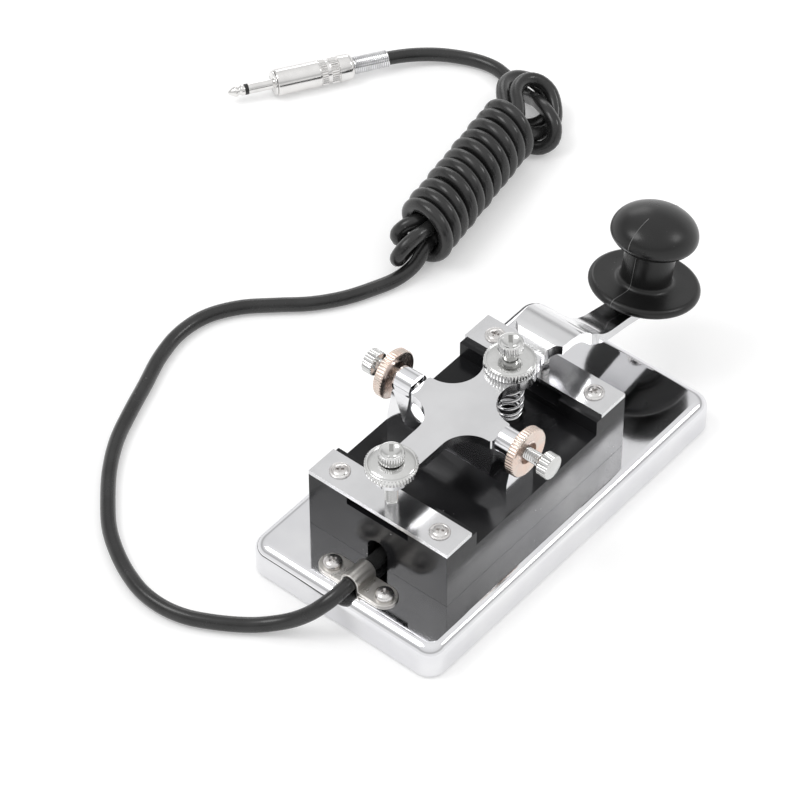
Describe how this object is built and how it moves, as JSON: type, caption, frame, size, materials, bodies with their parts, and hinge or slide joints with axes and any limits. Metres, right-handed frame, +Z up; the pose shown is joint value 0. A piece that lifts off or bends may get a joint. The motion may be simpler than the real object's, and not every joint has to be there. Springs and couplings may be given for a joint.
{
  "type": "morse key",
  "caption": "Straight telegraph key: knobbed rocking lever on pivot screws over a black block and plated base, with adjusters, return spring, clamped lead in a hank and jack plug.",
  "frame": {"origin": "centre of the key's own footprint on the desk, without its lead", "axes": "+X from the pivot towards the knob, +Y to the left, +Z up"},
  "size_m": [0.2414, 0.2028, 0.0552],
  "materials": {
    "plated_base": "mirror-polished chrome plate over a heavy metal slab",
    "strap_plate": "mirror-polished chrome plate with bright rolled edges",
    "bracket_casting": "chrome-plated casting",
    "lever_plate": "mirror-polished chrome plate, edges slightly grained",
    "bright_nickel": "bright nickel plate",
    "zinc_screw": "zinc-plated steel screws",
    "copper_nut": "knurled nuts with a thin worn plate over copper alloy",
    "block_plastic": "black moulded insulating plastic with light scratches",
    "knob_plastic": "black satin moulded plastic with a parting line",
    "foot_rubber": "matt black rubber",
    "brass_part": "machined brass",
    "spring_steel": "bright spring wire",
    "wire_brown": "PVC insulation",
    "wire_red": "PVC insulation",
    "cord_pvc": "black semi-gloss PVC jacket",
    "plug_metal": "nickel-plated brass",
    "plug_black": "black insulating ring"
  },
  "bodies": {
    "base": {"base_plate": "plated_base", "rubber_feet": "foot_rubber", "base_screws": "zinc_screw", "block": "block_plastic", "rear_strap": "strap_plate", "front_strap": "strap_plate", "rear_strap_screws": "zinc_screw", "front_strap_screws": "zinc_screw", "bearing_bracket": "bracket_casting", "bracket_screws": "zinc_screw", "return_spring": "spring_steel", "cord_clamp": "bright_nickel", "clamp_screws": "zinc_screw", "bracket_lug": "brass_part", "contact_lug": "brass_part", "contact_nut": "zinc_screw", "bracket_wire": "wire_brown", "contact_wire": "wire_red", "lead_in": "cord_pvc", "cord_run": "cord_pvc", "cord_hank": "cord_pvc", "cord_tail": "cord_pvc", "plug_tip": "plug_metal", "plug_ring": "plug_black", "plug_sleeve": "plug_metal", "plug_shell": "plug_metal", "plug_spring": "spring_steel"},
    "lever": {"lever": "lever_plate", "contact_stud": "bright_nickel", "knob": "knob_plastic", "knob_insert": "brass_part", "knob_screw": "zinc_screw"},
    "left_pivot_screw": {"left_pivot_screw": "bright_nickel"},
    "right_pivot_screw": {"right_pivot_screw": "bright_nickel"},
    "left_lock_nut": {"left_lock_nut": "copper_nut"},
    "right_lock_nut": {"right_lock_nut": "copper_nut"},
    "gap_screw": {"gap_screw": "bright_nickel"},
    "gap_lock_nut": {"gap_lock_nut": "bright_nickel"},
    "spring_screw": {"spring_screw": "bright_nickel"},
    "spring_lock_nut": {"spring_lock_nut": "bright_nickel"}
  },
  "joints": [
    {"name": "lever_pivot", "type": "hinge", "parent": "base", "child": "lever", "pos_m": [-0.02453, 0, 0.0434], "axis": [0, 1, 0], "range_deg": [0, 1.4], "stiffness_Nm_per_rad": 0.5, "springref_deg": -17.19, "deforming": ["return_spring"]},
    {"name": "left_pivot_screw_turn", "type": "hinge", "parent": "base", "child": "left_pivot_screw", "pos_m": [-0.02453, 0.031, 0.0434], "axis": [0, 1, 0], "range_deg": [-180, 180]},
    {"name": "right_pivot_screw_turn", "type": "hinge", "parent": "base", "child": "right_pivot_screw", "pos_m": [-0.02453, -0.031, 0.0434], "axis": [0, -1, 0], "range_deg": [-180, 180]},
    {"name": "left_lock_nut_turn", "type": "hinge", "parent": "base", "child": "left_lock_nut", "pos_m": [-0.02453, 0.0243, 0.0434], "axis": [0, 1, 0], "range_deg": [-180, 360]},
    {"name": "right_lock_nut_turn", "type": "hinge", "parent": "base", "child": "right_lock_nut", "pos_m": [-0.02453, -0.0231, 0.0434], "axis": [0, -1, 0], "range_deg": [0, 360]},
    {"name": "gap_screw_turn", "type": "hinge", "parent": "lever", "child": "gap_screw", "pos_m": [-0.05453, 0, 0.0504], "axis": [0, 0, 1], "range_deg": [-360, 360]},
    {"name": "gap_lock_nut_turn", "type": "hinge", "parent": "lever", "child": "gap_lock_nut", "pos_m": [-0.05453, 0, 0.0464], "axis": [0, 0, 1], "range_deg": [0, 360]},
    {"name": "spring_screw_turn", "type": "hinge", "parent": "lever", "child": "spring_screw", "pos_m": [-0.00223, 0, 0.0524], "axis": [0, 0, 1], "range_deg": [-360, 360]},
    {"name": "spring_lock_nut_turn", "type": "hinge", "parent": "lever", "child": "spring_lock_nut", "pos_m": [-0.00223, 0, 0.0464], "axis": [0, 0, 1], "range_deg": [0, 360]}
  ]
}
